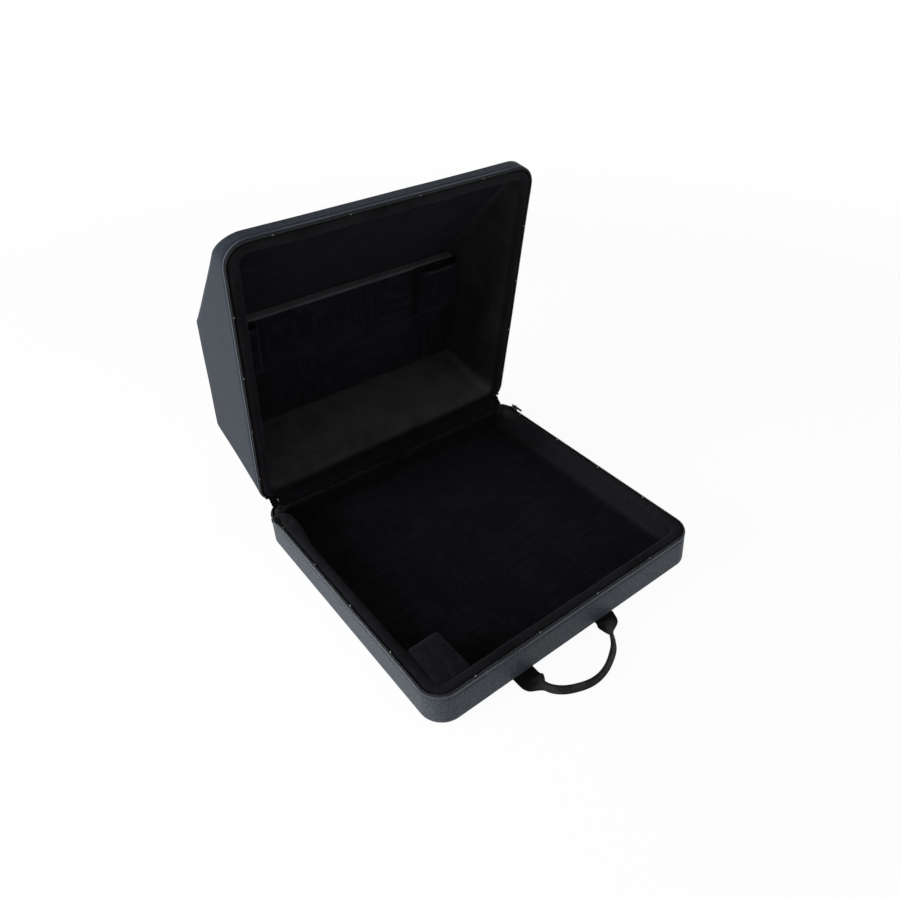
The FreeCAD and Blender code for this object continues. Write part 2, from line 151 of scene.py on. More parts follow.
class Finish(Nodes):
    """A material on one Principled shader."""

    def __init__(self, name, **constants):
        self.material = bpy.data.materials.new(name)
        super().__init__(self.material)
        self.shader = self.tree.nodes["Principled BSDF"]
        for socket, value in constants.items():
            self.shader.inputs[socket.replace("_", " ")].default_value = value

    def noise(self, place, scale, detail=3, roughness=0.5):
        inputs = {"Vector": place, "Scale": scale, "Detail": detail, "Roughness": roughness}
        return self.node("ShaderNodeTexNoise", None, inputs)

    def spread(self, value, low, high):
        """Value from 0 at low to 1 at high, smooth between."""
        inputs = {"Value": value, "From Min": low, "From Max": high}
        return self.node("ShaderNodeMapRange", {"interpolation_type": "SMOOTHSTEP"}, inputs)

    def blend(self, share, first, second):
        """Colour from first to second."""
        inputs = {0: share, 6: first, 7: second}
        return self.node("ShaderNodeMix", {"data_type": "RGBA"}, inputs, 2)

    def stretch(self, place, scales):
        return self.node("ShaderNodeVectorMath", {"operation": "MULTIPLY"}, [place, scales])

    def along_across(self):
        """Metres along and across the cloth."""
        cloth = self.node("ShaderNodeAttribute", {"attribute_name": "cloth"}, output=1)
        along = self.node("ShaderNodeSeparateXYZ", None, [cloth])
        return along, along.beside(1)

    def body_place(self):
        """Place on the piece in metres, as it lies at rest."""
        return self.node("ShaderNodeTexCoord", None, (), 3)

    def marked_wear_and_light(self):
        """How far each point is paled: scuffed cloth, painted light on the plush, the webbing's paler
        grip.
        """
        return self.node("ShaderNodeAttribute", {"attribute_name": "wear_and_light"}, output=2)

    def finished(self, tone, rough, relief, depth, strength=1.0):
        """The material, with its colour, its roughness and a bump of that depth in metres."""
        bump = {"Height": relief, "Distance": depth, "Strength": strength}
        self.feed(self.shader.inputs["Base Color"], tone)
        self.feed(self.shader.inputs["Roughness"], rough)
        self.feed(self.shader.inputs["Normal"], self.node("ShaderNodeBump", None, bump))
        return self.material


def shade(red, green, blue):
    return (red, green, blue, 1)


def tinted(tint, red, green, blue):
    return (red * tint[0], green * tint[1], blue * tint[2], 1)


def oxford_cloth(name, creases, tint, gloss):
    """Dark slate oxford cloth: fine weave and grain, faint clouds, pale where use has scuffed it,
    with painted shade darkening the creases that lie at these distances from its hem."""
    finish = Finish(name, Sheen_Weight=gloss * 0.3, Sheen_Roughness=0.5, Specular_IOR_Level=gloss)
    place = finish.body_place()
    along, across = finish.along_across()
    threads = along.waves(1.1 * mm) * across.waves(1.1 * mm) * 0.5 + 0.5
    clouds = finish.noise(place, 8, 4)
    grain = finish.noise(place, 330, 3, 0.65)
    wear_and_light = finish.marked_wear_and_light()
    dull, clear = tinted(tint, 0.044, 0.053, 0.064), tinted(tint, 0.060, 0.071, 0.085)
    tone = finish.blend(finish.spread(clouds, 0.3, 0.7), dull, clear)
    crests = finish.spread(grain, 0.46, 0.64) * 0.62
    tone = finish.blend(crests, tone, tinted(tint, 0.115, 0.130, 0.150))
    pits = finish.spread(grain, 0.52, 0.38) * 0.5 + (1 - threads) * 0.2
    tone = finish.blend(pits, tone, tinted(tint, 0.018, 0.023, 0.029))
    worn_and_lit = wear_and_light * finish.spread(clouds + grain * 0.4, 0.55, 0.85)
    tone = finish.blend(worn_and_lit * 0.5, tone, tinted(tint, 0.15, 0.17, 0.195))
    # Painted shade: a dark line is painted along each crease.
    for crease in creases:
        past = across - crease
        crease_shade = finish.spread(past.math("ABSOLUTE", past), 1.7 * mm, 0.4 * mm)
        tone = finish.blend(crease_shade * 0.85, tone, shade(0.006, 0.007, 0.010))
    rough = clouds * 0.1 + grain * 0.12 + 0.45
    return finish.finished(tone, rough, threads * 0.5 + grain, depth=0.25 * mm, strength=0.8)


def rounded_loop(low, high, radius, inset):
    """Points round a rounded rectangle from corner low to corner high, right side first;
    inset moves it inward, and its rounded corners keep least_r."""
    r = np.zeros(rim_count) + np.maximum(radius - inset, least_r)
    x0, y0, x1, y1 = low[0] + inset + r, low[1] + inset + r, high[0] - inset - r, high[1] - inset - r
    corners = ((x1, y0), (x1, y1), (x0, y1), (x0, y0), (x1, y0))
    points = np.zeros((rim_count, 2))
    run = np.append(np.arange(side_steps) / side_steps, np.ones(corner_steps))
    sweep = np.append(np.zeros(side_steps), np.arange(corner_steps) / corner_steps * math.pi / 2)
    for turn in range(4):
        pick = slice(turn * side_count, (turn + 1) * side_count)
        angle = turn * math.pi / 2 + sweep
        for axis, spoke in enumerate((np.cos(angle), np.sin(angle))):
            here, there = corners[turn][axis][pick], corners[turn + 1][axis][pick]
            points[pick, axis] = here + (there - here) * run + r[pick] * spoke
    return points


def tray_loop(inset, depth):
    """Loop round the tray, inset from its outside, depth below its rim."""
    x, y = case_width / 2, case_depth / 2
    flat = rounded_loop((-x, -y), (x, y), corner_r, inset)
    return np.column_stack([flat, tray_height - (np.zeros(rim_count) + depth)])


def closing_faces(first, count):
    """Faces that close a loop that has shrunk to a line, with its ends mirrored."""
    faces = []
    for index in range(count // 2):
        ring = [index, index + 1, count - index - 1, (count - index) % count]
        faces.append([first + number for number in dict.fromkeys(ring)])
    return [face for face in faces if len(face) > 2]


def add_piece(name, vertices, faces, finish):
    """A smooth mesh in one finish, in the scene."""
    mesh = bpy.data.meshes.new(name)
    mesh.from_pydata(vertices, [], faces)
    mesh.shade_smooth()
    mesh.materials.append(finish)
    piece = bpy.data.objects.new(name, mesh)
    bpy.context.scene.collection.objects.link(piece)
    return piece


def lengths_along(points):
    """Length along a line at each of its points."""
    return np.concatenate([[0], np.cumsum(np.linalg.norm(np.diff(points, axis=0), axis=1))])


def grid_faces(first, rows, count, columns):
    """Faces between rows of count points each, which are numbered from first."""
    faces = []
    for start in range(first, first + (rows - 1) * count, count):
        for column in range(columns):
            here, after = start + column, start + (column + 1) % count
            faces.append((here, after, after + count, here + count))
    return faces


def skin(name, loops, finish, closed_start=False, closed_end=False, ring=True):
    """A surface through loops of equal count, with metres along and across on its corners."""
    stack = np.array(loops)
    rows, count = stack.shape[:2]
    faces = grid_faces(0, rows, count, count if ring else count - 1)
    if closed_start:
        faces += [face[::-1] for face in closing_faces(0, count)]
    if closed_end:
        faces += closing_faces((rows - 1) * count, count)
    piece = add_piece(name, stack.reshape(-1, 3).tolist(), faces, finish)
    mark_cloth(piece.data, stack, count)
    return piece


def mark_cloth(mesh, stack, count):
    """Stores on each face corner how far it lies along and across the cloth."""
    widest = stack[int(np.argmax(np.linalg.norm(np.ptp(stack, axis=1), axis=1)))]
    along = lengths_along(np.vstack([widest, widest[:1]]))
    rises = np.linalg.norm(np.diff(stack, axis=0), axis=2).mean(axis=1)
    across = np.concatenate([[0], np.cumsum(rises)])
    corners = np.zeros(len(mesh.loops), int)
    mesh.loops.foreach_get("vertex_index", corners)
    starts = np.zeros(len(mesh.polygons), int)
    mesh.polygons.foreach_get("loop_start", starts)
    column = corners % count
    farthest = np.repeat(np.maximum.reduceat(column, starts), np.diff([*starts, len(corners)]))
    column[(column == 0) & (farthest > count / 2)] = count
    marks = np.column_stack([along[column], across[corners // count], np.zeros(len(corners))])
    attribute = mesh.attributes.new("cloth", "FLOAT_VECTOR", "CORNER")
    attribute.data.foreach_set("vector", marks.ravel())


def store_wear_and_light(piece, values):
    """Stores how far each point is paled: scuffed cloth, painted light on the plush, the webbing's paler
    grip.
    """
    attribute = piece.data.attributes.new("wear_and_light", "FLOAT", "POINT")
    attribute.data.foreach_set("value", values)


def mark_rub(piece, rows, strength):
    """Marks whole loops of a skin as scuffed by handling."""
    values = np.zeros((len(piece.data.vertices) // rim_count, rim_count))
    values[rows] = strength
    store_wear_and_light(piece, values.ravel())


def portion(value, start, stop):
    """How far a value lies from start to stop, 0 to 1."""
    return np.clip((value - start) / (stop - start), 0, 1)


def soften(piece, swell, size):
    """Pushes a surface in and out a little, as cloth over foam."""
    mesh = piece.data
    normals = [vertex.normal.copy() for vertex in mesh.vertices]
    for vertex, normal in zip(mesh.vertices, normals):
        vertex.co += normal * swell * noise.noise(vertex.co / size)


def quarter(radius):
    """Rows of a rounded edge: how far in and how far up, from the wall to the flat."""
    for step in range(1, edge_steps + 1):
        angle = step / edge_steps * math.pi / 2
        yield radius * (1 - math.cos(angle)), radius * (1 - math.sin(angle))


def insets(start, stop, first_step, growth=1.35, most=12 * mm):
    """Insets from start to stop that step more and more widely."""
    values, step = [], first_step
    place = start + step
    while place < stop - step / 2:
        values.append(place)
        step = min(step * growth, most)
        place += step
    return values + [stop]


def over_edge(start, radius, stop, first_step, most=12 * mm):
    """Rows from a wall over its rounded edge to the middle: inset, and how far short of it."""
    rows = [(start + inward, above) for inward, above in quarter(radius)]
    return rows + [(inset, 0) for inset in insets(start + radius, stop, first_step, most=most)]


cloth = oxford_cloth("tray_oxford_cloth", (fold_crease,), (0.95, 0.98, 1.0), 0.18)
cap_end = min(case_width, case_depth) / 2 - least_r - end_gap
loops = [tray_loop(s * mm, d * mm) for s, d in hem + fold_line]
loops += [tray_loop(0, depth) for depth in (*wall_rows, tray_height - tray_edge_r)]
edge_rows = slice(len(loops) - 1, len(loops) + edge_steps)
for inset, above in over_edge(0, tray_edge_r, cap_end, first_step=3 * mm):
    loops.append(tray_loop(inset, tray_height - above))
tray_cover = skin("tray_cover", loops, cloth, closed_end=True)
mark_rub(tray_cover, edge_rows, edge_wear)
for vertex in tray_cover.data.vertices:
    low = portion(vertex.co.z, tray_height - bulge_below, 0)
    uneven = uneven_height * noise.noise(vertex.co / uneven_size) * (1 - low)
    left, front = -vertex.co.x * 2 / case_width, -vertex.co.y * 2 / case_depth
    vertex.co.y -= (front_bulge * low ** bulge_curve + uneven) * max(0, front) ** bulge_corner
    vertex.co.x -= (side_bulge * low ** bulge_curve + uneven) * max(0, left) ** bulge_corner
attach(tray_cover, "tray")
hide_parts("base_cover")

# Lid cover. The same oxford cloth over the deep foam lid: a low front wall, a long
# slope, a flat top panel and walls that lean in. It is sewn up as one bag with
# the zip tape at its rim, and the foam rounds its edges.

lid_height = 198 * mm
front_wall = 29.4 * mm
slope_run = 248 * mm
side_lean = 13.4 / 198
back_lean = 14.3 / 198
lid_edge_r = 11 * mm
side_swell, swell_run, swell_least = 6.5 * mm, 170 * mm, 0.35
swell_curve, swell_corner = 1.5, 6
bend_round = 1.0 * mm
bend_lift, bend_reach, bend_from = 1.3 * mm, 11 * mm, 0.93 * lid_height
front_edge = 0.2
wall_start = 0.06
lid_end = cap_end - back_lean * lid_height / 2
slope_rise = (lid_height - front_wall) / slope_run
slope_length = math.hypot(1, slope_rise)


def lid_top(y, inset):
    """Depth of slope and top panel above the rim at a distance y behind the hinge."""
    slope = front_wall + (y + case_depth) * slope_rise - inset * slope_length
    top = lid_height - inset
    return (slope + top - np.sqrt((slope - top) ** 2 + bend_round ** 2)) / 2


def lid_flat(inset, depth):
    """Plan of the closed lid at that depth, hinge at y=0."""
    x = case_width / 2 - side_lean * depth
    return rounded_loop((-x, -case_depth), (x, -back_lean * depth), corner_r, inset)


def opened(points):
    """Points of the closed lid (x, y, depth from the rim) where they lie, lid open."""
    turn = np.array(Matrix.Translation(hinge) @ Matrix.Rotation(-opening, 4, "X"))
    return points @ turn[:3, :3].T + turn[:3, 3]


def opened_loop(flat, depth):
    """Loop on the open lid, from its plan and its depth from the rim, lid closed."""
    return opened(np.column_stack([flat, np.zeros(rim_count) + depth]))


def lid_loop(inset, depth):
    """Loop round the open lid at a depth from its rim."""
    return opened_loop(lid_flat(inset, depth), depth)


def front_eased():
    """Share of an edge's rounding round the rim: less on the front edge, which is blunt."""
    share = np.ones(rim_count)
    share[3 * side_count:3 * side_count + side_steps] = front_edge
    share[3 * side_count - corner_steps:3 * side_count] = np.linspace(1, front_edge, corner_steps)
    share[4 * side_count - corner_steps:] = np.linspace(front_edge, 1, corner_steps)
    return share


def lid_wall_loop(inset, share, from_depth, under, floor_inset):
    """Loop part way up the lid's wall: share 0 at from_depth, 1 at under short of the top."""
    depth = from_depth
    for _ in range(3):
        top = lid_top(lid_flat(inset, depth)[:, 1], floor_inset) - under
        depth = from_depth + (top - from_depth) * share
    return lid_loop(inset, depth)


def lid_cap_loop(inset, floor_inset, short):
    """Loop on the lid's slope and top panel, short of them by an edge's rounding."""
    depth = lid_height / 2
    for _ in range(4):
        depth = lid_top(lid_flat(inset, depth)[:, 1], floor_inset) - short
    return lid_loop(inset, depth)


rounding = front_eased()
loops = [lid_loop(s * mm, d * mm) for s, d in hem + fold_line]
for share in np.linspace(wall_start, 1, 22):
    loops.append(lid_wall_loop(0, share, fold_line[-1][1] * mm, lid_edge_r * rounding, 0))
edge_rows = slice(len(loops) - 1, len(loops) + edge_steps)
for inset, above in over_edge(0, lid_edge_r, lid_end, first_step=3 * mm, most=8 * mm):
    loops.append(lid_cap_loop(inset, 0, above * rounding))
# Painted shade: the lid has its own copy of the cloth, tinted darker and bluer than the tray's.
shaded_lid_cloth = oxford_cloth("lid_oxford_cloth_painted_shade", (fold_crease,), (0.41, 0.46, 0.53), 0.07)
lid_cover = skin("lid_cover_cloth", loops, shaded_lid_cloth, closed_end=True)
mark_rub(lid_cover, edge_rows, edge_wear)
soften(lid_cover, swell=0.9 * mm, size=110 * mm)
closing = Matrix.Rotation(opening, 4, "X") @ Matrix.Translation(-hinge)
lid_out = closing.inverted().to_3x3() @ Vector((0, 0, 1))
for vertex in lid_cover.data.vertices:
    shut = closing @ vertex.co
    past_bend = shut.y + case_depth - slope_run
    near_bend = math.exp(-((min(0, past_bend) / swell_run) ** 2))
    swell = side_swell * (swell_least + (1 - swell_least) * near_bend)
    high = portion(shut.z, 0, lid_height) ** swell_curve
    side = (abs(shut.x) * 2 / case_width) ** swell_corner
    vertex.co.x += math.copysign(swell * high * side, shut.x)
    at_bend = math.exp(-((past_bend / bend_reach) ** 2))
    vertex.co += lid_out * bend_lift * at_bend * (shut.z > bend_from)
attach(lid_cover, "lid")
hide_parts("lid_cover")

# Foam of the tray and the lid. Black closed-cell foam boards, glued at the corners
# and seen only at the bottom of the groove beside the zip.


def black_foam():
    """Black foam with open cells at its cut faces."""
    finish = Finish("black_foam", Specular_IOR_Level=0.05)
    place = finish.body_place()
    cells = finish.node("ShaderNodeTexVoronoi", None, {"Vector": place, "Scale": 700})
    tone = finish.blend(cells, shade(0.003, 0.003, 0.004), shade(0.009, 0.009, 0.010))
    return finish.finished(tone, cells * 0.2 + 0.8, cells, depth=0.3 * mm)


def refinished(node, finish):
    """A piece of the frame, kept as it is, in a finish."""
    piece = frame["nodes"][node]
    piece.data.materials.clear()
    piece.data.materials.append(finish)
    return piece


foam = black_foam()
for node in ("base_shell", "lid_shell"):
    piece = refinished(node, foam)

# Plush lining. Black brushed plush glued over the inside; at the rim it turns out
# over the foam as a soft lip and is tucked down into the groove beside the zip.
# It is pulled by hand, so the lip's inner edge wanders and puckers.

lip = [
    (5.9, 8.6), (5.9, 6.6), (6.0, 5.0), (6.4, 3.8), (7.1, 2.8), (8.1, 1.95), (9.5, 1.25),
    (11.4, 0.75), (14.0, 0.5), (17.0, 0.75), (19.3, 1.5), (21.0, 2.8), (22.1, 4.8), (22.5, 7.5),
    (22.4, 11.0), (21.9, 15.0), (21.4, 20.0), (21.1, 26.0),
]
floor_depth = 47.1 * mm
lining_corner_r = 7 * mm
lining_inset = 21.0 * mm
lining_rows = np.array([30, 33.4, 36.8]) * mm
inner_from, inner_full, inner_depth, inner_wander = 12, 21, 38, 0.4
crown_from, crown_full, crown_lift = 6, 12, 0.22
gather_run = 95 * mm
left_gather, right_gather, gather_side = 11, 7, 20 * mm
gather_start, gather_stop = (150 * mm, 70 * mm), (24 * mm, 50 * mm)
lump_size, lump_height, lump_most, lump_sag = 12 * mm, 7 * mm, 0.4 * mm, 0.35
lump_from, lump_full = 9 * mm, 15 * mm
floor_edge, floor_uneven, floor_size = 3 * mm, 0.9 * mm, 60 * mm
lip_crest, lip_foot = 3 * mm, 14 * mm
tray_side_strip, lid_side_strip, hinge_strip = (40 * mm, 25 * mm), (46 * mm, 30 * mm), (52 * mm, 24 * mm)
front_strip = (0.85 * case_depth, case_depth - 20 * mm)
# Shares of painted light on the linings' pile, by place.
tray_pile_light = {"lip": 0.12, "gathers": 0.5, "right wall": 0.12}
lid_pile_light = {"lip": 0.09, "front lip": 0.12, "hinge wall": 0.7, "right wall": 0.35}


def plush(name, brightness, glow):
    """Black brushed plush: short pile that lies this way and that, paler where it stands, and
    lightened with painted light where its points are marked lit."""
    finish = Finish(
        name, Sheen_Weight=glow, Sheen_Roughness=0.4, Sheen_Tint=shade(0.55, 0.54, 0.68),
        Specular_IOR_Level=0.04,
    )
    place = finish.body_place()
    sideways_strokes = finish.noise(finish.stretch(place, (16, 110, 110)), 1, 4, 0.6)
    upright_strokes = finish.noise(finish.stretch(place, (120, 30, 26)), 1, 4, 0.6)
    patches = finish.noise(place, 11, 4, 0.55)
    lie = finish.spread(patches, 0.44, 0.56)
    strokes = sideways_strokes * lie + upright_strokes * (1 - lie)
    pile = finish.noise(place, 1300, 2)
    brushed = finish.spread(strokes * 0.65 + patches * 0.35, 0.42, 0.62)
    deep = shade(0.0032 * brightness, 0.0030 * brightness, 0.0038 * brightness)
    light = shade(0.0058 * brightness, 0.0055 * brightness, 0.0068 * brightness)
    tone = finish.blend(brushed, deep, light)
    tone = finish.blend(finish.spread(pile, 0.5, 0.78) * 0.3, tone, shade(0.014, 0.013, 0.016))
    # Painted light: where its points are marked lit, the pile is lightened towards pale grey.
    wear_and_light = finish.marked_wear_and_light()
    worn_and_lit = wear_and_light * (finish.spread(pile, 0.3, 0.7) * 0.3 + finish.spread(patches, 0.3, 0.6) * 0.4 + 0.3)
    tone = finish.blend(worn_and_lit, tone, shade(0.090, 0.088, 0.095))
    relief = pile + patches * 0.6
    return finish.finished(tone, 1 - brushed * 0.1, relief, depth=0.5 * mm, strength=0.8)


def ripple(seed, waves, least, most):
    """Smooth unevenness round the rim, about -1 to 1."""
    dice = np.random.default_rng(seed)
    angle = np.arange(rim_count) / rim_count * 2 * math.pi
    total = np.zeros(rim_count)
    for _ in range(waves):
        total += np.sin(angle * dice.integers(least, most) + dice.uniform(0, 2 * math.pi))
    return total / waves ** 0.5


def paint_pile_light(piece, strength):
    """Marks how far painted light lightens the pile: strength is called with each point at rest."""
    store_wear_and_light(piece, [strength(vertex.co) for vertex in piece.data.vertices])


def lip_loops(half_loop, seeds, gather):
    """Loops of a half's lip: its crown rises and falls, and its inner edge wanders and is
    drawn in by gather millimetres."""
    wander = ripple(seeds[0], waves=7, least=3, most=30)
    lift = ripple(seeds[1], waves=6, least=8, most=60)
    rows = []
    for inset, depth in lip:
        inner = portion(inset, inner_from, inner_full) * portion(depth, inner_depth, 0)
        drawn = inset + inner * (wander * inner_wander + gather)
        crown = portion(inset, crown_from, crown_full) * crown_lift * lift
        rows.append(half_loop(drawn * mm, (depth - crown) * mm))
    return rows


def ease(value, start, stop):
    """0 at start to 1 at stop, smooth between."""
    share = portion(value, start, stop)
    return share * share * (3 - 2 * share)


def tray_painted_light(point):
    """Painted light on the tray's pile: on its lip, as highlights on the lumps by the hinge, and
    on the right wall, which faces the left lamp.
    """
    on_lip = ease(tray_height - point.z, lip_foot, lip_crest)
    near_hinge = ease(hinge.y - point.y, gather_run, 30 * mm)
    lumps = 0.5 + noise.noise(point / lump_size * 1.3)
    gathers = near_hinge * lumps * (case_width / 2 - abs(point.x) < tray_side_strip[0])
    on_right_wall = ease(case_width / 2 - point.x, *tray_side_strip) * (1 - on_lip)
    on_lip *= tray_pile_light["lip"] + tray_pile_light["gathers"] * gathers
    return on_lip + tray_pile_light["right wall"] * on_right_wall


def lid_painted_light(point):
    """Painted light on the lid's pile: on its lip, more at its front, on the wall by the hinge,
    which faces up, and on the right wall, which faces the left lamp.
    """
    shut = closing @ point
    on_lip = ease(shut.z, lip_foot, lip_crest)
    lip_light = lid_pile_light["lip"] + lid_pile_light["front lip"] * ease(-shut.y, *front_strip)
    wall_light = lid_pile_light["hinge wall"] * ease(-shut.y, *hinge_strip)
    wall_light += lid_pile_light["right wall"] * ease(case_width / 2 - shut.x, *lid_side_strip)
    return lip_light * on_lip + wall_light * (1 - on_lip)


lining_plush = plush("lining_plush", 1.0, 0.08)
rim = tray_loop(0, 0)
from_hinge = hinge.y - rim[:, 1]
gather = np.where(rim[:, 0] < 0, left_gather, right_gather)
gather = gather * (np.abs(rim[:, 0]) > case_width / 2 - gather_side)
gather = gather * ease(from_hinge, *gather_start) * ease(from_hinge, *gather_stop)
loops = lip_loops(tray_loop, (4, 9), gather)
loops += [tray_loop(lining_inset, depth) for depth in lining_rows]
for inset, above in over_edge(lining_inset, lining_corner_r, cap_end, first_step=2.5 * mm, most=7 * mm):
    loops.append(tray_loop(inset, floor_depth - above))
tray_lining = skin("tray_lining", loops, lining_plush, closed_end=True)
for vertex in tray_lining.data.vertices:
    depth = tray_height - vertex.co.z
    if depth > floor_depth - floor_edge:
        vertex.co.z += floor_uneven * noise.noise(vertex.co / floor_size)
    elif depth < lip_foot:
        near_hinge = portion(hinge.y - vertex.co.y, gather_run, 0)
        inner = portion(case_width / 2 - abs(vertex.co.x), lump_from, lump_full)
        lump = noise.noise(vertex.co / lump_size) * inner * near_hinge ** 0.5
        vertex.co.z += min(lump_most, lump_height * (lump - lump_sag * inner * near_hinge))
# Painted light on the tray lining's lip, its lumps by the hinge and its right wall.
paint_pile_light(tray_lining, tray_painted_light)
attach(tray_lining, "tray")
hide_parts("base_lining")

loops = lip_loops(lid_loop, (21, 23), 0)
wall_bottom = lip[-1][1] * mm
for share in np.linspace(wall_start, 1, 20):
    loops.append(lid_wall_loop(lining_inset, share, wall_bottom, lining_corner_r, lining_inset))
for inset, above in over_edge(lining_inset, lining_corner_r, lid_end, first_step=2.5 * mm, most=7 * mm):
    loops.append(lid_cap_loop(inset, lining_inset, above))
lid_lining = skin("lid_lining_plush", loops, lining_plush, closed_end=True)
# Painted light on the lid lining's lip, its hinge wall and its right wall.
paint_pile_light(lid_lining, lid_painted_light)
soften(lid_lining, swell=0.8 * mm, size=60 * mm)
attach(lid_lining, "lid")
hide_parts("lid_lining")

# Zip tape and coil. A woven black tape is sewn inside the cover's edge on three
# sides; a nylon coil is stitched along its top. It ends part way round the two
# back corners, the lid's half under a small metal stop.

coil_inset = 2.3 * mm
coil_depth = 1.85 * mm
coil_r = 0.85 * mm
coil_wire_r = 0.36 * mm
coil_pitch = 2.6 * mm
turn_steps, wire_corners = 8, 5
zip_end = 14 * mm
tape_profile = [
    (2.1, 15.8), (2.12, 10.0), (2.1, 3.4), (1.9, 3.0), (1.6, 3.0), (1.4, 3.4), (1.38, 10.0), (1.4, 15.8),
]


def nylon():
    """Black nylon coil, slightly shiny, grey where use has scuffed it."""
    finish = Finish("coil_nylon", Coat_Roughness=0.3)
    place = finish.body_place()
    pale_share = finish.noise(place, 300, 2)
    dark, worn_and_lit = shade(0.010, 0.011, 0.013), shade(0.075, 0.082, 0.09)
    tone = finish.blend(finish.spread(pale_share, 0.45, 0.75), dark, worn_and_lit)
    return finish.finished(tone, pale_share * 0.2 + 0.32, pale_share, depth=0.05 * mm)


def tape_cloth():
    """Black twill tape."""
    finish = Finish("tape_twill", Sheen_Weight=0.2)
    along, across = finish.along_across()
    ribs = (along + across).waves(1.2 * mm) * 0.5 + 0.5
    tone = finish.blend(ribs, shade(0.006, 0.006, 0.007), shade(0.02, 0.021, 0.024))
    return finish.finished(tone, ribs * 0.1 + 0.75, ribs, depth=0.15 * mm)


def zip_line(inset, depth, trim=0.0):
    """Points of the zip's path in the rim's plane: x, y behind the hinge, depth."""
    flat = rounded_loop((-case_width / 2, -case_depth), (case_width / 2, 0), corner_r, inset)
    keep = flat[:, 1] < -zip_end - trim
    first = int(np.argmin(keep))
    ordered = np.roll(flat, -(first + int(np.argmax(keep[first:]))), axis=0)
    ordered = ordered[: int(keep.sum())]
    return np.column_stack([ordered, np.full(len(ordered), depth)])


def on_tray(points):
    """Points given from the hinge, with depth from the rim, placed on the tray."""
    placed = points.copy()
    placed[:, 1] += hinge.y
    placed[:, 2] = tray_height - points[:, 2]
    return placed


def even(points, step):
    """Points along a line at an even step."""
    lengths = lengths_along(points)
    places = np.linspace(0, lengths[-1], max(2, int(lengths[-1] / step)))
    return np.column_stack([np.interp(places, lengths, points[:, axis]) for axis in range(3)])


def unit(rows):
    """Each row at a length of 1."""
    return rows / np.linalg.norm(rows, axis=1)[:, None]


def sideways(points):
    """Unit directions square to a flat line, in its plane."""
    run = unit(np.gradient(points[:, :2], axis=0))
    return np.column_stack([run[:, 1], -run[:, 0], np.zeros(len(run))])


def coil(name, place, trim):
    """A helix of nylon wire along the zip's line."""
    centre = even(zip_line(coil_inset, coil_depth, trim), coil_pitch / turn_steps)
    out = sideways(centre)
    angle = np.arange(len(centre)) * 2 * math.pi / turn_steps
    up = np.array([0, 0, 1.0])
    wire = centre + coil_r * (np.cos(angle)[:, None] * out + np.sin(angle)[:, None] * up)
    spoke = unit(wire - centre)
    other = np.cross(unit(np.gradient(wire, axis=0)), spoke)
    loops = []
    for corner in range(wire_corners):
        turn = corner * 2 * math.pi / wire_corners
        loops.append(place(wire + coil_wire_r * (math.cos(turn) * spoke + math.sin(turn) * other)))
    loops = np.swapaxes(np.array(loops), 0, 1)
    return skin(name, loops, coil_nylon)


coil_nylon = nylon()
zip_twill = tape_cloth()
for body, place, node, trim in (("tray", on_tray, "base", 0), ("lid", opened, "lid", 4 * mm)):
    teeth = coil(body + "_zip_coil", place, trim)
    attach(teeth, body)
    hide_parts(node + "_zip_coil")
    strips = [place(zip_line(s * mm, d * mm)) for s, d in tape_profile]
    least = min(len(strip) for strip in strips)
    tape = skin(body + "_zip_tape", [strip[:least] for strip in strips], zip_twill, ring=False)
    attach(tape, body)
    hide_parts(node + "_zip_tape")

# Stitches. Pale grey thread runs round both halves just below the hem, where the
# cover is sewn to the tape, and a darker row holds the fold below it.

stitch_pitch = 3.5 * mm
stitch_length = 2.5 * mm
stitch_r = 0.34 * mm
bead_end, bead_taper = 0.35, 0.6
hem_row = (0.0, 5.4)
fold_row = (0.0, 13.0)


def thread(name, dark, pale):
    """Twisted sewing thread."""
    finish = Finish(name, Sheen_Weight=0.2)
    strands = finish.noise(finish.body_place(), 2500, 2)
    tone = finish.blend(strands, dark, pale)
    return finish.finished(tone, strands * 0.2 + 0.6, strands, depth=0.06 * mm)


def beads(name, centres, runs, half_length, radius, finish, rings=5, corners=6):
    """Many small rounded stitches in one piece: a centre and a direction each."""
    runs = unit(runs)
    tilt = np.where(np.abs(runs[:, 2:]) > 0.9, [[1.0, 0, 0]], [[0, 0, 1.0]])
    side = unit(np.cross(runs, tilt))
    up = np.cross(side, runs)
    vertices, faces = [], []
    for centre, run, across, rise in zip(centres, runs, side, up):
        first = len(vertices)
        for ring in range(rings):
            turn = math.pi * (ring + bead_end) / (rings - 1 + 2 * bead_end)
            width = radius * math.sin(turn) ** bead_taper
            middle = centre - run * half_length * math.cos(turn)
            for corner in range(corners):
                angle = corner * 2 * math.pi / corners
                vertices.append(middle + width * (math.cos(angle) * across + math.sin(angle) * rise))
        faces += grid_faces(first, rings, corners, corners)
        faces.append(tuple(first + corner for corner in reversed(range(corners))))
        last = first + (rings - 1) * corners
        faces.append(tuple(last + corner for corner in range(corners)))
    return add_piece(name, [tuple(vertex) for vertex in vertices], faces, finish)


grey_thread = thread("grey_thread", shade(0.20, 0.22, 0.25), shade(0.46, 0.49, 0.53))
slate_thread = thread("slate_thread", shade(0.03, 0.038, 0.05), shade(0.08, 0.095, 0.115))
for body, place in (("tray", on_tray), ("lid", opened)):
    for row, (inset, depth), finish in (
        ("hem", hem_row, grey_thread),
        ("fold", fold_row, slate_thread),
    ):
        name = body + "_" + row + "_stitches"
        line = place(even(zip_line(inset * mm, depth * mm), stitch_pitch))
        stitches = beads(name, line, np.gradient(line, axis=0), stitch_length / 2, stitch_r, finish)
        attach(stitches, body)

# Tacks. Short bars of white thread hold the lip's cloth down in the groove, a
# hand's breadth apart round the three zipped sides of both halves.

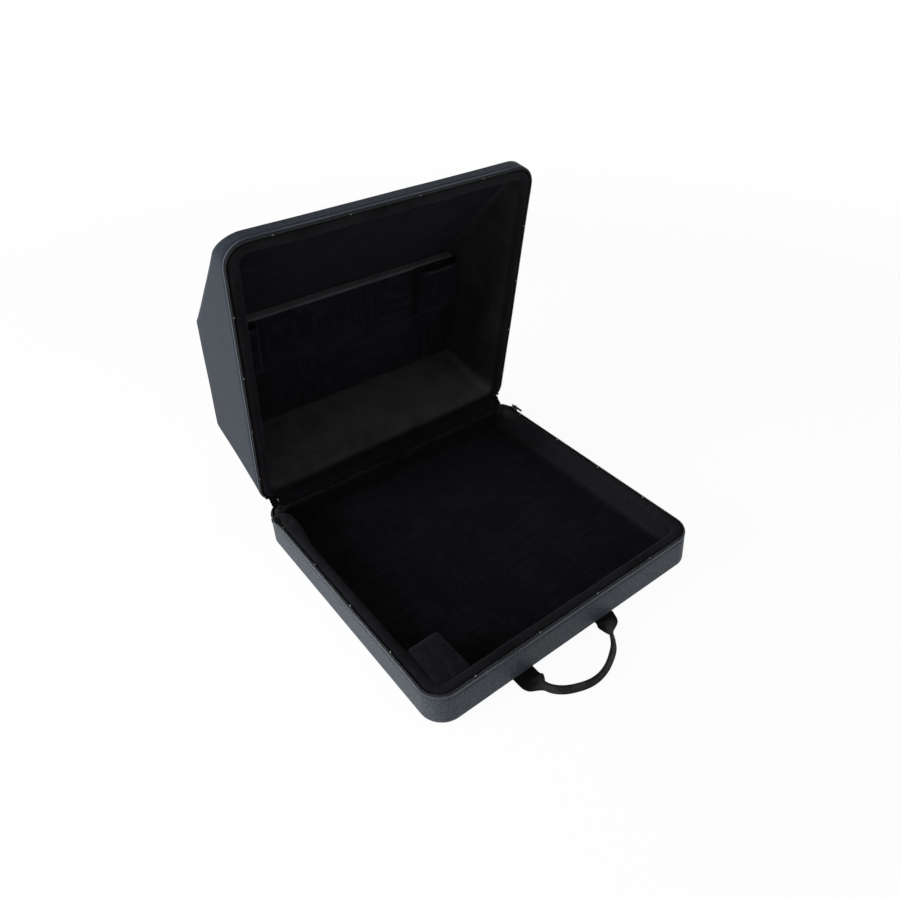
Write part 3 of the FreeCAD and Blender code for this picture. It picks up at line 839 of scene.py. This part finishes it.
tack_depth = 3.3 * mm
tack_inset = 3.9 * mm
tack_pitch = 115 * mm
tack_first = 70 * mm
tack_front_pitch = 122 * mm
tack_front_shift = -17 * mm
tack_half, tack_r, tack_slant = 1.7 * mm, 0.8 * mm, 0.25
white_thread = thread("white_thread", shade(0.55, 0.55, 0.54), shade(0.85, 0.85, 0.83))
spots, runs = [], []
for index in range(4):
    for side in (-1, 1):
        x = side * (case_width / 2 - tack_inset)
        spots.append((x, -tack_first - index * tack_pitch, tack_depth))
        runs.append((tack_slant, 1, 0))
    x = (index - 1.5) * tack_front_pitch + tack_front_shift
    spots.append((x, tack_inset - case_depth, tack_depth))
    runs.append((1, tack_slant, 0))
spots, runs = np.array(spots), np.array(runs, float)
for body, place, node in (("tray", on_tray, "base_tacks"), ("lid", opened, "lid_tacks")):
    centres = place(spots)
    ends = place(spots + runs * mm)
    tacks = beads(body + "_tacks", centres, ends - centres, tack_half, tack_r, white_thread, 7, 8)
    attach(tacks, body)
    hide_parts(node)

# Top pad. A board under foam, wrapped in the lining's plush and glued to the lid's
# top panel. Its front edge stands off the slope as a ledge, and its face is a
# little crowned.

pad_near = 160.1 * mm
pad_thick = 16.8 * mm
pad_ledge = 277.4 * mm
pad_low = 33.6 * mm
pad_roll = 4 * mm
pad_corner_r = 4 * mm
pad_crown = 2.2 * mm
pad_gap = 0.5 * mm
ledge_light, ledge_from, ledge_to = 1.5, 1.5 * mm - pad_ledge, 5 * mm - pad_ledge
# Painted light: the pad, the pockets and the corner block wear a copy of the lining's plush, 2.4 times
# paler.
lit_pad_plush = plush("lit_pad_plush", 2.4, 0.16)
half = case_width / 2 - lining_inset - side_lean * (pad_near + pad_thick / 2) - pad_gap
low, high = (-half, -pad_ledge), (half, -pad_low)
rows = [(0, depth) for depth in np.linspace(pad_near + pad_thick, pad_near + pad_roll, 5)]
rows += [(inward, pad_near + above) for inward, above in quarter(pad_roll)]
pad_end = (pad_ledge - pad_low) / 2 - least_r - end_gap
for inset in insets(pad_roll, pad_end, first_step=2 * mm, most=7 * mm):
    rows.append((inset, pad_near - pad_crown * (1 - (1 - inset / pad_end) ** 4)))
loops = [opened_loop(rounded_loop(low, high, pad_corner_r, inset), depth) for inset, depth in rows]
top_pad = skin("lid_top_pad_plush", loops, lit_pad_plush, closed_end=True)
# Painted light: the ledge at the pad's front edge, which faces up, is lightened.
paint_pile_light(top_pad, lambda point: ledge_light * ease((closing @ point).y, ledge_to, ledge_from))
soften(top_pad, swell=0.7 * mm, size=45 * mm)
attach(top_pad, "lid")
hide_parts("lid_top_pad")

# Pockets. Two open-topped holders of plush over stiff foam stand on the pad, one
# at each end, with a rolled rim and rounded front corners.

pocket_mouth = 274.4 * mm
pocket_height = 97.8 * mm
pocket_reach = 22 * mm
pocket_wall = 4 * mm
pocket_r = 9 * mm
pocket_swell = 1.6 * mm
pocket_roll = 5 * mm
pocket_sag = 2.2 * mm
pocket_gap = 1.2 * mm
wall_low, wall_high, inside_high = 1.4 * pocket_roll, pocket_height - 3 * mm, pocket_height - 9 * mm
left_width, right_width = 60 * mm, 95 * mm
pocket_rim = [
    (-0.5, -1.4), (-0.6, 0.0), (0.2, 1.0), (1.8, 1.4), (3.2, 1.0), (4.1, -0.2), (4.2, -2.4),
]


def pocket_loop(low, high, inset, up, sag):
    """Loop round a pocket at a height above its bottom; sag lowers its front edge."""
    flat = rounded_loop(low, high, pocket_r, inset)
    middle, span = (low[0] + high[0]) / 2, (high[0] - low[0]) / 2
    front = portion(flat[:, 1], high[1], low[1])
    crown = 1 - ((flat[:, 0] - middle) / span) ** 2
    belly = pocket_swell * math.sin(math.pi * portion(up, 0, pocket_height))
    y = pocket_height - pocket_mouth - up + sag * front * crown
    return np.column_stack([flat[:, 0], y, flat[:, 1] - belly * front * crown])


def pocket(name, left_side, width):
    """Pocket from its closed bottom up over the rim and down inside."""
    outer = case_width / 2 - lining_inset - side_lean * pad_near - pocket_gap
    x0 = -outer if left_side else outer - width
    low, high = (x0, pad_near - pocket_reach), (x0 + width, pad_near)
    narrow = pocket_reach / 2 - least_r - end_gap / 2
    rows = []
    for inset in reversed([0.0] + insets(0, narrow, first_step=1.2 * mm)):
        lack = portion(inset, pocket_roll, 0)
        rows.append((inset, pocket_roll * (1 - math.sqrt(1 - lack ** 2)), 0))
    rows += [(0, up, 0) for up in np.linspace(wall_low, wall_high, 14)]
    rows += [(inset * mm, pocket_height + up * mm, pocket_sag) for inset, up in pocket_rim]
    rows += [(pocket_wall, up, 0) for up in np.linspace(inside_high, pocket_wall, 10)]
    rows.append((narrow, pocket_wall, 0))
    loops = [opened(pocket_loop(low, high, *row)) for row in rows]
    # Painted light: the pockets wear the paler copy of the plush.
    return skin(name, loops, lit_pad_plush, closed_start=True, closed_end=True)


for name, left_side, width in (("left", True, left_width), ("right", False, right_width)):
    holder = pocket("lid_pocket_" + name + "_plush", left_side, width)
    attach(holder, "lid")
    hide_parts("lid_pocket_" + name)

# Corner block. A block of foam in plush that fills the tray's front left corner,
# just below the lip, and keeps what lies in the tray from sliding.

block_low, block_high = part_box("base_corner_block")
block_roll, block_corner_r, block_crown = 6 * mm, 8 * mm, 1.5 * mm
block_end = (block_high.x - block_low.x) / 2 - least_r - end_gap


def block_loop(inset, z):
    flat = rounded_loop(block_low.xy, block_high.xy, block_corner_r, inset)
    return np.column_stack([flat, np.full(rim_count, z)])


loops = [block_loop(0, z) for z in np.linspace(block_low.z, block_high.z - block_roll, 8)]
for inward, above in quarter(block_roll):
    loops.append(block_loop(inward, block_high.z - above))
for inset in insets(block_roll, block_end, first_step=1.5 * mm, most=5 * mm):
    loops.append(block_loop(inset, block_high.z + block_crown * (1 - (1 - inset / block_end) ** 3)))
# Painted light: the block wears the paler copy of the plush.
block = skin("tray_corner_block", loops, lit_pad_plush, closed_end=True)
soften(block, swell=0.6 * mm, size=30 * mm)
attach(block, "tray")
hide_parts("base_corner_block")

# Soft hinge. Outside, a band of the cover's cloth is sewn down the tray's back and
# along the lid's back. Inside, the lining bridges the two lips in pleats that
# are gathered tighter at both ends, where they close the corner.

tray_leg = np.array([0, 0, -1.0])
lid_leg = opened(np.array([[0, -back_lean, 1.0]]))[0] - np.array(hinge)
lid_leg /= np.linalg.norm(lid_leg)
lid_lip = opened(np.array([[0, -1.0, 0]]))[0] - np.array(hinge)
band_half = case_width / 2 - corner_r
band_leg = 22 * mm
band_lift = 0.35 * mm
band_thick = 1.1 * mm
band_turn, turn_reach, turn_lift = 0.12, 0.1, 1.6
pleat_depth, pleat_steps, pleat_taper = 1.5 * mm, 10, 0.4
pleat_hollow, pleat_uneven, pleat_sway = 0.28, 0.25, 1.2 * mm
pleat_waves = (17 * mm, 30 * mm, 43 * mm, 56 * mm)
pleat_lift, pleat_row = 0.2 * mm, 3 * mm
lining_reach, gusset_reach = 22 * mm, 15 * mm
lining_half, gusset_near, gusset_far = 249.5 * mm, 248.5 * mm, 262.5 * mm


def across_hinge(profile, xs):
    """Loops of a strip along the hinge: one per x, through a profile of (y, z) from the hinge."""
    return [[(x, hinge.y + y, hinge.z + z) for y, z in profile] for x in xs]


def band_profile(lift):
    """Line down the tray's back, round the hinge and under the lid's back."""
    out_tray = np.array([0, 1.0, 0])
    out_lid = np.array([0, lid_leg[2], -lid_leg[1]])
    points = []
    for share in np.linspace(1, band_turn, 10):
        points.append(tray_leg * band_leg * share + out_tray * lift)
    for share in np.linspace(0, 1, 7)[1:-1]:
        mid = out_tray * (1 - share) + out_lid * share
        mid /= np.linalg.norm(mid)
        leg = (tray_leg * (1 - share) + lid_leg * share) * band_leg * turn_reach
        points.append(leg * abs(1 - 2 * share) + mid * lift * turn_lift)
    for share in np.linspace(band_turn, 1, 10):
        points.append(lid_leg * band_leg * share + out_lid * lift)
    return [(point[1], point[2]) for point in points]


profile = band_profile(band_lift) + band_profile(band_lift + band_thick)[::-1]
rows = across_hinge(profile, np.linspace(-band_half, band_half, 80))
# Painted shade: the band has its own copy of the cloth, tinted about half as bright.
band = skin("hinge_band_cloth", rows, oxford_cloth("shaded_band_cloth", (), (0.5, 0.55, 0.6), 0.1))
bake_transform(band)
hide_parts("hinge_band")


def pleat_profile(reach, folds, depth, sway):
    """Zigzag of soft pleats from the tray's lip to the lid's lip, reach from the hinge."""
    points = []
    for share in np.arange(folds * pleat_steps + 1) / (folds * pleat_steps):
        middle = math.sin(math.pi * share) if share < 1 else 0
        wave = math.sin(share * folds * 2 * math.pi) * depth
        radius = reach * (1 - pleat_hollow * middle) + (wave + sway) * middle ** pleat_taper
        points.append((-math.cos(share * opening) * radius, math.sin(share * opening) * radius))
    return points


def pleats(name, x0, x1, reach, folds, depth, seed):
    """Pleated strip along the hinge with folds that wander as they go."""
    phases = np.random.default_rng(seed).uniform(0, 2 * math.pi, len(pleat_waves))
    rows = []
    for x in np.linspace(x0, x1, max(8, int((x1 - x0) / pleat_row))):
        wobble = np.mean(np.sin(x / np.array(pleat_waves) + phases))
        row = pleat_profile(reach, folds, depth * (1 + pleat_uneven * wobble), pleat_sway * wobble)
        rows += across_hinge([(y, z + pleat_lift) for y, z in row], [x])
    return skin(name, rows, lining_plush, ring=False)


for name, x0, x1, reach, folds, seed in (
    ("hinge_lining", -lining_half, lining_half, lining_reach, 4, 31),
    ("hinge_gusset_left", -gusset_far, -gusset_near, gusset_reach, 3, 32),
    ("hinge_gusset_right", gusset_near, gusset_far, gusset_reach, 3, 33),
):
    strip = pleats(name + "_pleats", x0, x1, reach, folds, pleat_depth, seed)
    steps = np.diff(pleat_profile(reach, folds, pleat_depth, 0), axis=0)
    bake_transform(strip)
    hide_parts(name)

# Zip sliders, pull tabs and end stops. Die-cast and plated; each slider rides on
# the tray's coil with its pull tab hooked on a pin between two ears.


def plated():
    """Dark plating with fine handling scratches."""
    finish = Finish("dark_plating", Metallic=1.0, Coat_Roughness=0.1)
    marks = finish.noise(finish.stretch(finish.body_place(), (300, 2600, 900)), 1, 3)
    tone = finish.blend(marks, shade(0.05, 0.05, 0.055), shade(0.13, 0.132, 0.14))
    rough = finish.spread(marks, 0.35, 0.75) * 0.2 + 0.28
    return finish.finished(tone, rough, marks, depth=0.02 * mm)


plating = plated()
for part in ("zip_slider", "zip_pull", "zip_stop"):
    for side in ("left", "right"):
        piece = refinished(part + "_" + side, plating)

# Webbing handles. Heavy ribbed webbing: its flat ends are sewn into the case, and
# between them it is folded double and stitched along its open edges, so that the
# grip stands on edge. One lies in front of the tray, one on the lid's slope.

strap_half = 19.5 * mm
strap_thick = 2.0 * mm
strap_spacing = 172 * mm
handle_points = [
    (-86, 0.9), (-86, -12), (-84, -27), (-76, -50), (-56, -67.5), (-22, -79.5), (11, -77),
    (45, -61.5), (62, -44.5), (73.5, -25), (81.5, -9), (86, 0.9),
]
fold_r = 1.25 * mm
grip_lean = math.radians(24)
lean_from, lean_to = 0.4, 0.8
left_inner_fold, left_outer_fold = (17 * mm, 46 * mm), (12 * mm, 44 * mm)
right_inner_fold, right_outer_fold = (6 * mm, 42 * mm), (2 * mm, 38 * mm)
square_run = 26 * mm
grip_pale = 0.75
section_half, edge_round, edge_least = 16, 0.8 * mm, 0.35
handle_stitch_r = 0.33 * mm
grip_pitch, grip_half, grip_row, grip_out = 4.2 * mm, 1.5 * mm, 3.6 * mm, 1.1 * strap_thick
full_fold = 0.97
patch_pitch, patch_half, patch_margin, patch_gap = 3.3 * mm, 1.2 * mm, 3 * mm, 0.3 * mm
short_patch = 12 * mm
front_patch, lid_patch = 8.7 * mm, 28 * mm


def webbing():
    """Black webbing: close ribs across it, paler on the grip, most on the ribs' tops."""
    finish = Finish("ribbed_webbing", Sheen_Weight=0.04, Sheen_Roughness=0.4, Specular_IOR_Level=0.05)
    place = finish.body_place()
    along, across = finish.along_across()
    ribs = across.waves(1.9 * mm) * 0.5 + 0.5
    cross = along.waves(2.4 * mm) * 0.5 + 0.5
    fuzz = finish.noise(place, 1200, 2)
    clouds = finish.noise(place, 45, 3)
    wear_and_light = finish.marked_wear_and_light()
    deep, light = shade(0.0016, 0.0016, 0.0019), shade(0.0058, 0.0058, 0.0066)
    tone = finish.blend(ribs * 0.6 + cross * 0.3, deep, light)
    worn_and_lit = wear_and_light * (ribs * 0.3 + cross * 0.2 + finish.spread(clouds, 0.42, 0.6) * 0.5)
    tone = finish.blend(worn_and_lit * 0.9, tone, shade(0.060, 0.060, 0.063))
    relief = ribs + cross * 0.5 + fuzz * 0.4
    return finish.finished(tone, fuzz * 0.15 + 0.65, relief, depth=0.3 * mm)


def fold_section(outer_fold, inner_fold, lean):
    """Section of the strap, each half 0 flat to 1 folded down under the crease on its top:
    closed outline of (inward, up), standing on its edges."""
    places = np.linspace(-strap_half, strap_half, 2 * section_half + 1)
    share = np.where(places < 0, outer_fold, inner_fold)
    bend = -share * math.pi / 2 * np.clip(places / (fold_r * math.pi / 2), -1, 1)
    step = places[1] - places[0]
    line = np.column_stack([np.cumsum(np.cos(bend)) * step, np.cumsum(np.sin(bend)) * step])
    line -= line[section_half]
    line[:, 1] += strap_half * math.sin(max(outer_fold, inner_fold) * math.pi / 2)
    normal = np.column_stack([-np.sin(bend), np.cos(bend)])
    edge = np.minimum(1, (strap_half - np.abs(places)) / edge_round + edge_least)[:, None]
    out = normal * edge * strap_thick / 2
    return leaned(np.vstack([line + out, (line - out)[::-1]]), lean)


def leaned(points, angle):
    """Points (inward, up) turned inward about the ground."""
    inward = points[:, 0] * math.cos(angle) + points[:, 1] * math.sin(angle)
    up = points[:, 1] * math.cos(angle) - points[:, 0] * math.sin(angle)
    return np.column_stack([inward, up])


def smooth_line(points, steps):
    """Even curve through points (Catmull-Rom)."""
    padded = np.vstack([2 * points[0] - points[1], points, 2 * points[-1] - points[-2]])
    line = []
    for before, here, there, beyond in zip(padded, padded[1:], padded[2:], padded[3:]):
        for share in np.arange(steps) / steps:
            line.append(
                here
                + share * (there - before) / 2
                + share ** 2 * (2 * before - 5 * here + 4 * there - beyond) / 2
                + share ** 3 * (3 * here - before - 3 * there + beyond) / 2
            )
    return np.array(line + [points[-1]])


def measured(line):
    """Length along a flat line at each point, and its unit directions."""
    return lengths_along(line), unit(np.gradient(line, axis=0))


def laid(place, direction, section):
    """Section points (inward, up) set square to the strap's direction."""
    inward = np.array([-direction[1], direction[0]])
    return np.column_stack([place + section[:, :1] * inward, section[:, 1]])


def handle_folds(length, whole):
    """How far the strap's outer and inner halves are folded up, and its lean."""
    rest = whole - length
    outer = min(ease(length, *left_outer_fold), ease(rest, *right_outer_fold))
    inner = min(ease(length, *left_inner_fold), ease(rest, *right_inner_fold))
    return outer, inner, min(outer, inner) * grip_lean * ease(length / whole, lean_from, lean_to)


def strap(name, line, folds, finish):
    """Strap swept along a line in its own frame, folded as folds says."""
    lengths, run = measured(line)
    loops, pale_share = [], []
    for place, direction, length in zip(line, run, lengths):
        outer, inner, lean = folds(length, lengths[-1])
        square = 1 - ease(min(length, lengths[-1] - length), 0, square_run)
        direction = direction * (1 - square) + np.array([0, math.copysign(square, direction[1])])
        direction /= np.linalg.norm(direction)
        loops.append(laid(place, direction, fold_section(outer, inner, lean)))
        pale_share.append(min(outer, inner) * grip_pale)
    piece = skin(name, loops, finish)
    store_wear_and_light(piece, np.repeat(pale_share, len(loops[0])))
    return piece


def grip_stitches(name, line, finish):
    """Row of stitches along the grip's outer face, below its open edges."""
    lengths, run = measured(line)
    row = []
    for place, direction, length in zip(line, run, lengths):
        outer, inner, lean = handle_folds(length, lengths[-1])
        if min(outer, inner) > full_fold:
            spot = np.array([[-grip_out, grip_row]])
            row.append(laid(place, direction, leaned(spot, lean))[0])
    row = even(np.array(row), grip_pitch)
    return beads(name, row, np.gradient(row, axis=0), grip_half, handle_stitch_r, finish)


def patch_stitches(name, x, start, stop, finish):
    """Box of stitches crossed from corner to corner, or one row where the patch is short."""
    left, right = x - strap_half + patch_margin, x + strap_half - patch_margin
    near, far = start + patch_margin, stop - patch_margin
    lines = [((left, near), (right, near))]
    if far - near > short_patch:
        lines += [((left, far), (right, far)), ((left, near), (left, far)), ((right, near), (right, far))]
        lines += [((left, near), (right, far)), ((right, near), (left, far))]
    centres, runs = [], []
    for first, last in lines:
        line = even(np.array([(*first, strap_thick / 2), (*last, strap_thick / 2)]), patch_pitch)
        centres += list(line)
        runs += [line[-1] - line[0]] * len(line)
    return beads(name, np.array(centres), np.array(runs), patch_half, handle_stitch_r, finish)


def close_ends(piece):
    """Fills the two open ends of a swept strap."""
    work = bmesh.new()
    work.from_mesh(piece.data)
    bmesh.ops.holes_fill(work, edges=[edge for edge in work.edges if edge.is_boundary], sides=0)
    work.to_mesh(piece.data)
    work.free()


handle_path = smooth_line(np.array(handle_points) * mm, 14)
ribbed = webbing()
black_thread = thread("black_thread", shade(0.006, 0.006, 0.007), shade(0.035, 0.035, 0.038))
front_place = Matrix.Translation(joints["front_handle_hinge"]["pos_m"])
back_place = (
    Matrix.Translation(joints["lid_handle_hinge"]["pos_m"])
    @ Matrix.Rotation(math.atan(slope_rise) - opening, 4, "X")
    @ Matrix.Rotation(math.pi, 4, "Z")
)
for node, body, place in (
    ("front_handle", "front_handle_body", front_place),
    ("lid_handle", "lid_handle_body", back_place),
):
    handle = strap(node + "_webbing", handle_path, handle_folds, ribbed)
    close_ends(handle)
    stitches = grip_stitches(node + "_stitches", handle_path, black_thread)
    for piece in (handle, stitches):
        piece.data.transform(place)
        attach(piece, body)
    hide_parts(node)

start = strap_thick / 2 + patch_gap
for node, body, place, length, mirror in (
    ("front_handle_patch", "tray", front_place, front_patch, 1),
    ("lid_handle_patch", "lid", back_place, lid_patch, -1),
):
    for side, sign in (("left", -mirror), ("right", mirror)):
        x = sign * strap_spacing / 2
        line = np.array([(x, y) for y in np.linspace(start, length, 12)])
        patch = strap(node + "_" + side + "_webbing", line, lambda length, whole: (0, 0, 0), ribbed)
        close_ends(patch)
        stitches = patch_stitches(node + "_" + side + "_stitches", x, start, length, black_thread)
        for piece in (patch, stitches):
            piece.data.transform(place)
            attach(piece, body)
        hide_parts(node + "_" + side)

# Floor, light and camera. A pale sweep, soft light from the left and a weaker one
# from the front, and the camera above the tray's front left corner.

camera_place = Vector((-596.7, -821.5, 984.8)) * mm
camera_yaw = math.radians(39.148)
camera_pitch = math.radians(36.547)
camera_roll = math.radians(-0.418)
camera_lens, camera_sensor = 30.94, 36
camera_shift = (-0.0621, -0.0113)
floor_white, floor_glow = 0.9, 1.04
floor_near, floor_far, floor_reach = 1.3, 2.6, 4
room_light = 0.22
white, grey = shade(1, 1, 1), shade(0.88, 0.88, 0.88)

pale = Finish("pale_floor", Base_Color=grey, Roughness=0.9, Specular_IOR_Level=0.1)
glow = pale.node("ShaderNodeEmission", None, {"Color": white, "Strength": floor_glow})
lit = Socket(pale, pale.shader.outputs[0])
whitened = pale.node("ShaderNodeMixShader", None, [pale.seen() * floor_white, lit, glow])
away = pale.node("ShaderNodeVectorMath", {"operation": "LENGTH"}, [pale.body_place()], 1)
clear = pale.node("ShaderNodeBsdfTransparent")
faded = pale.node("ShaderNodeMixShader", None, [pale.spread(away, floor_near, floor_far), whitened, clear])
pale.feed(pale.tree.nodes["Material Output"].inputs[0], faded)
corners = [(x * floor_reach, y * floor_reach, 0) for x, y in ((-1, -1), (1, -1), (1, 1), (-1, 1))]
floor = add_piece("floor", corners, [(0, 1, 2, 3)], pale.material)

camera_data = bpy.data.cameras.new("camera")
camera_data.lens = camera_lens
camera_data.sensor_width = camera_sensor
camera_data.shift_x, camera_data.shift_y = camera_shift
camera = bpy.data.objects.new("camera", camera_data)
camera.matrix_world = (
    Matrix.Translation(camera_place)
    @ Matrix.Rotation(-camera_yaw, 4, "Z")
    @ Matrix.Rotation(math.pi / 2 - camera_pitch, 4, "X")
    @ Matrix.Rotation(camera_roll, 4, "Z")
)
bpy.context.scene.collection.objects.link(camera)
bpy.context.scene.camera = camera


def lamp(name, place, aim, size, power):
    """Square soft lamp."""
    data = bpy.data.lights.new(name, "AREA")
    data.shape = "SQUARE"
    data.size = size
    data.energy = power
    made = bpy.data.objects.new(name, data)
    made.location = place
    made.rotation_euler = (Vector(aim) - Vector(place)).to_track_quat("-Z", "Y").to_euler()
    bpy.context.scene.collection.objects.link(made)


lamp("left_light", (-2.5, 0.5, 0.95), (0, 0.1, 0.2), size=1.4, power=58)
lamp("front_light", (0.4, -2.7, 1.7), (0, 0.1, 0.2), size=1.8, power=12)
lamp("top_light", (0.2, 0.1, 3.2), (0, 0.1, 0.1), size=2.2, power=10)

studio = bpy.data.worlds.new("studio")
bpy.context.scene.world = studio
sky = Nodes(studio)
sky.tree.nodes.remove(sky.tree.nodes["Background"])
room = sky.node("ShaderNodeBackground", None, [shade(0.95, 0.97, 1.0), room_light])
backdrop = sky.node("ShaderNodeBackground", None, [white])
either = sky.node("ShaderNodeMixShader", None, [sky.seen(), room, backdrop])
sky.feed(sky.tree.nodes["World Output"].inputs[0], either)

bpy.context.scene.view_settings.view_transform = "Standard"
